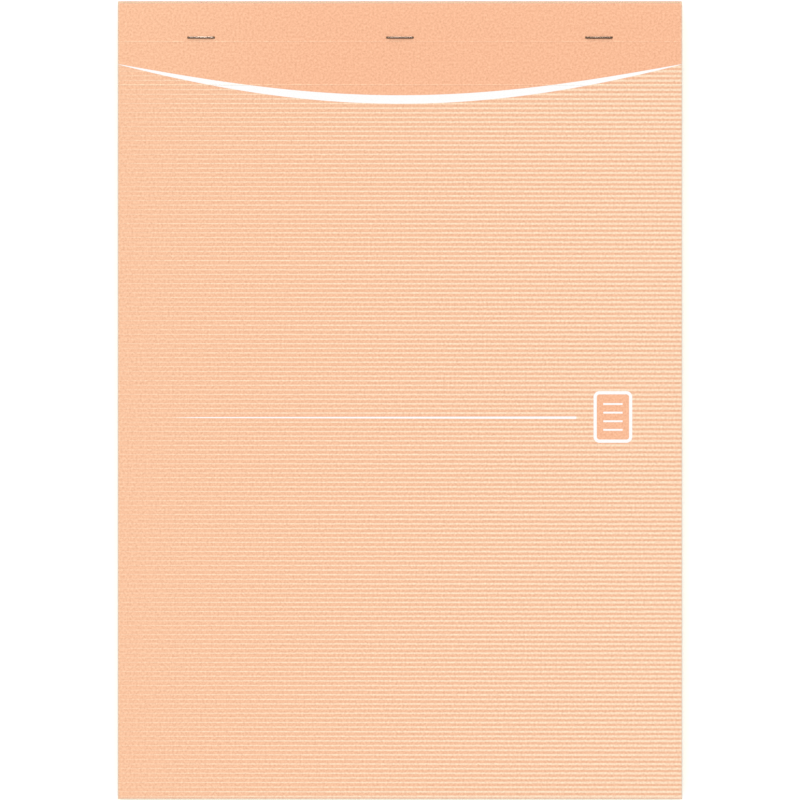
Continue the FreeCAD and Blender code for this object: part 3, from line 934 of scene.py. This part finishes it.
def make_greyboard():
    material, nodes, shader = new_material("greyboard")
    place = nodes.add("ShaderNodeTexCoord").outputs["Object"]
    patch = nodes.add("ShaderNodeTexNoise", {"Vector": place, "Scale": 1 / PATCH_SIZE,
                                             "Detail": PATCH_DETAIL})
    colour = nodes.mix(patch.outputs["Fac"], BOARD_DARK, BOARD_PALE)
    finish_paper(nodes, shader, place, colour, BOARD_GRAIN, clouding=BOARD_CLOUDING,
                 flecking=BOARD_FLECKING, fleck_colour=BOARD_FLECK, bump=BOARD_BUMP,
                 roughness=BOARD_ROUGHNESS)
    return material


def repaint(node, material):
    """Gives a solid of the frame a new finish, and leaves its mesh alone."""
    mesh = frame["nodes"][node].data
    mesh.materials.clear()
    mesh.materials.append(material)


repaint("backboard", make_greyboard())
print("backboard: greyboard")

# %% [markdown]
# The staples.
# Each is one length of drawn wire, bent twice over the card and twice under it, with its legs turned in. A
# six-point path holds the whole of it. The tree rounds the corners, sweeps a round wire along the path and
# repeats it at each staple's place. The tips are cut aslant, as a stitching machine leaves them. The tone
# of the steel wanders at random, and the share of bright steel also falls from the left staple to the right
# one, a painted gleam for the light that comes from the left.

# %% Bend the staples
BEND = 0.5 * MM
BEND_STEPS = 6
WIRE_SIDES = 20
TIP_SLANT = 0.5
TIP_REACH = WIRE / 10
DRAWN_SCALE, DRAWN_DETAIL = (300.0, 9000.0, 9000.0), 2.0
DRAWN_BUMP, DRAWN_STRENGTH = 0.005 * MM, 0.15
STEEL_ROUGHNESS, STEEL_SWING = 0.26, 0.1
TARNISH_SCALE, TARNISH_DETAIL = 900.0, 3.0
TARNISHED, POLISH_AND_GLEAM = screen(94, 77, 64), screen(158, 146, 136)
# Painted gleam: the left staple is painted brighter than the right one, for light from the left.
GLEAM_LEFT, GLEAM_RIGHT = 0.26, 0.0
POLISH_CLOUD = 0.2


def make_staple_tree():
    tree, nodes, given = new_tree("staples", {
        "Wire": "Float", "Bend": "Float", "First": "Vector", "Apart": "Vector", "Count": "Int",
        "Material": "Material"})
    line = nodes.add("GeometryNodeMeshToCurve", {"Mesh": given["Start"]})
    bent = nodes.add("GeometryNodeFilletCurve", {"Curve": line.outputs[0], "Radius": given["Bend"]},
                     mode="POLY")
    nodes.feed(bent.inputs["Count"], BEND_STEPS)
    ring = nodes.add("GeometryNodeCurvePrimitiveCircle", {"Resolution": WIRE_SIDES,
                                                          "Radius": given["Wire"]})
    wire = nodes.add("GeometryNodeCurveToMesh", {"Curve": bent.outputs[0], "Profile Curve": ring.outputs[0],
                                                 "Fill Caps": True})
    places = nodes.add("GeometryNodeMeshLine", {"Count": given["Count"], "Start Location": given["First"],
                                                "Offset": given["Apart"]})
    placed = nodes.add("GeometryNodeInstanceOnPoints", {"Points": places.outputs[0],
                                                        "Instance": wire.outputs[0]})
    end_tree(nodes, placed.outputs[0], given["Material"])
    return tree


def make_steel():
    material, nodes, shader = new_material("staple_wire")
    place = nodes.add("ShaderNodeTexCoord").outputs["Object"]
    drawn = nodes.add("ShaderNodeMapping", {"Vector": place, "Scale": DRAWN_SCALE})
    lines = nodes.add("ShaderNodeTexNoise", {"Vector": drawn.outputs[0], "Scale": 1.0,
                                             "Detail": DRAWN_DETAIL})
    cloud = nodes.add("ShaderNodeTexNoise", {"Vector": place, "Scale": TARNISH_SCALE,
                                             "Detail": TARNISH_DETAIL})
    across = nodes.add("ShaderNodeSeparateXYZ", {"Vector": place}).outputs["X"]
    # Painted gleam, brighter steel towards the left staple; the cloud adds random tone on top.
    left_gleam = nodes.add("ShaderNodeMapRange", {
        "Value": across, "From Min": STAPLE_X[0], "From Max": STAPLE_X[-1],
        "To Min": GLEAM_LEFT, "To Max": GLEAM_RIGHT})
    share = nodes.math("MULTIPLY_ADD", cloud.outputs["Fac"], POLISH_CLOUD, left_gleam.outputs["Result"])
    colour = nodes.mix(share, TARNISHED, POLISH_AND_GLEAM)
    nodes.feed(shader.inputs["Base Color"], colour)
    rough = nodes.math("MULTIPLY_ADD", lines.outputs["Fac"], STEEL_SWING, STEEL_ROUGHNESS)
    nodes.feed(shader.inputs["Roughness"], rough)
    relief = nodes.add("ShaderNodeBump", {"Height": lines.outputs["Fac"], "Distance": DRAWN_BUMP,
                                          "Strength": DRAWN_STRENGTH})
    nodes.feed(shader.inputs["Normal"], relief.outputs[0])
    shader.inputs["Metallic"].default_value = 1.0
    return material


rise = CROWN_Z - CLINCH_Z
wire_path = [(-TIP, 0, 0), (-LEG, 0, 0), (-LEG, 0, rise), (LEG, 0, rise), (LEG, 0, 0), (TIP, 0, 0)]
wire_mesh = bpy.data.meshes.new("wire_path")
wire_mesh.from_pydata(wire_path, [(point, point + 1) for point in range(len(wire_path) - 1)], [])
staples = grow("staples", make_staple_tree(), {
    "Wire": WIRE, "Bend": BEND, "First": (STAPLE_X[0], STAPLE_Y, CLINCH_Z),
    "Apart": (STAPLE_X[1] - STAPLE_X[0], 0, 0), "Count": len(STAPLE_X), "Material": make_steel()},
    start=wire_mesh)
for vertex in staples.data.vertices:
    middle = nearest_staple(vertex.co.x)
    if abs(abs(vertex.co.x - middle) - TIP) < TIP_REACH and vertex.co.z < 2 * CLINCH_Z:
        side = 1 if vertex.co.x > middle else -1
        vertex.co.x += side * TIP_SLANT * (vertex.co.z - CLINCH_Z + WIRE) / 2
soften(staples)
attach(staples, "pad")
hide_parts("staple_left", "staple_middle", "staple_right")
print("staples:", len(STAPLE_X), "of", len(staples.data.polygons), "faces in all")

# %% [markdown]
# The floor and the light.
# The pad is looked at from straight above, through a long lens, so none of its sides shows. Most of the
# light is even and comes from the world. A soft sun from the head, a little to the left, lights the far
# side of each crease. Together they add up to a level at which a colour renders as it is written. Metal
# shows what it mirrors, so a low strip of light past the head, seen by shiny things alone, draws a pale
# line along each wire. The floor is white to the camera and still takes the pad's shadow.

# %% Set the floor and the light
AMBIENT = 0.836
SUN_STRENGTH = 0.95
SUN_WIDTH = math.radians(40)
SUN_FROM = Vector((-0.15, 1.25, 0.85))
STRIP_STRENGTH = 3.5
STRIP_WIDTH = math.radians(12)
STRIP_FROM = Vector((0.0, 1.0, 0.07))
FLOOR_HALF = 4.0
FLOOR_WHITE = screen(248, 248, 248)
FLOOR_LIFT = 0.3


def seen_ray(nodes):
    """1 for rays that show the background: straight to the camera, mirrored or let through."""
    rays = nodes.add("ShaderNodeLightPath").outputs
    return nodes.most(rays["Is Camera Ray"], rays["Is Glossy Ray"], rays["Is Transmission Ray"])


world = bpy.data.worlds.new("studio")
world.use_nodes = True
bpy.context.scene.world = world
world_nodes = Nodes(world.node_tree)
level = world_nodes.add("ShaderNodeMapRange", {"Value": seen_ray(world_nodes), "To Min": AMBIENT})
sky = world.node_tree.nodes["Background"]
sky.inputs["Color"].default_value = (1, 1, 1, 1)
world_nodes.feed(sky.inputs["Strength"], level.outputs["Result"])


def add_sun(name, strength, width, come_from):
    data = bpy.data.lights.new(name, "SUN")
    data.energy = strength
    data.angle = width
    sun = link(name, data)
    sun.rotation_mode = "QUATERNION"
    sun.rotation_quaternion = come_from.to_track_quat("Z", "Y")
    return sun


add_sun("key", SUN_STRENGTH, SUN_WIDTH, SUN_FROM).visible_glossy = False
add_sun("strip", STRIP_STRENGTH, STRIP_WIDTH, STRIP_FROM).visible_diffuse = False

floor_mesh = bpy.data.meshes.new("floor")
floor_corners = [(FLOOR_HALF * x, FLOOR_HALF * y, 0) for x, y in ((-1, -1), (1, -1), (1, 1), (-1, 1))]
floor_mesh.from_pydata(floor_corners, [], [(0, 1, 2, 3)])
floor = link("floor", floor_mesh)
floor_material, floor_nodes, floor_shader = new_material("floor")
floor_shader.inputs["Base Color"].default_value = FLOOR_WHITE
floor_shader.inputs["Roughness"].default_value = 1.0
floor_shader.inputs["Specular IOR Level"].default_value = 0.0
floor_shader.inputs["Emission Color"].default_value = (1, 1, 1, 1)
lift = floor_nodes.math("MULTIPLY", seen_ray(floor_nodes), FLOOR_LIFT)
floor_nodes.feed(floor_shader.inputs["Emission Strength"], lift)
floor.data.materials.append(floor_material)
print("light: ambient", AMBIENT, "and sun", SUN_STRENGTH)

# %% [markdown]
# The camera.
# It hangs above the middle of the pad, so far away that the sides of the block stay hidden under the cover.
# The lens is long, and the distance follows from it and from how much of the card's face fills the picture.

# %% Place the camera
LENS, SENSOR = 200.0, 36.0
VIEW_WIDTH = 297.57 * MM
camera_data = bpy.data.cameras.new("camera")
camera_data.lens = LENS
camera_data.sensor_width = SENSOR
camera = link("camera", camera_data)
camera.location = (0, 0, CARD_FACE + VIEW_WIDTH * LENS / SENSOR)
bpy.context.scene.camera = camera
bpy.context.scene.view_settings.view_transform = "Standard"
print("camera", round(camera.location.z, 3), "m above the floor")
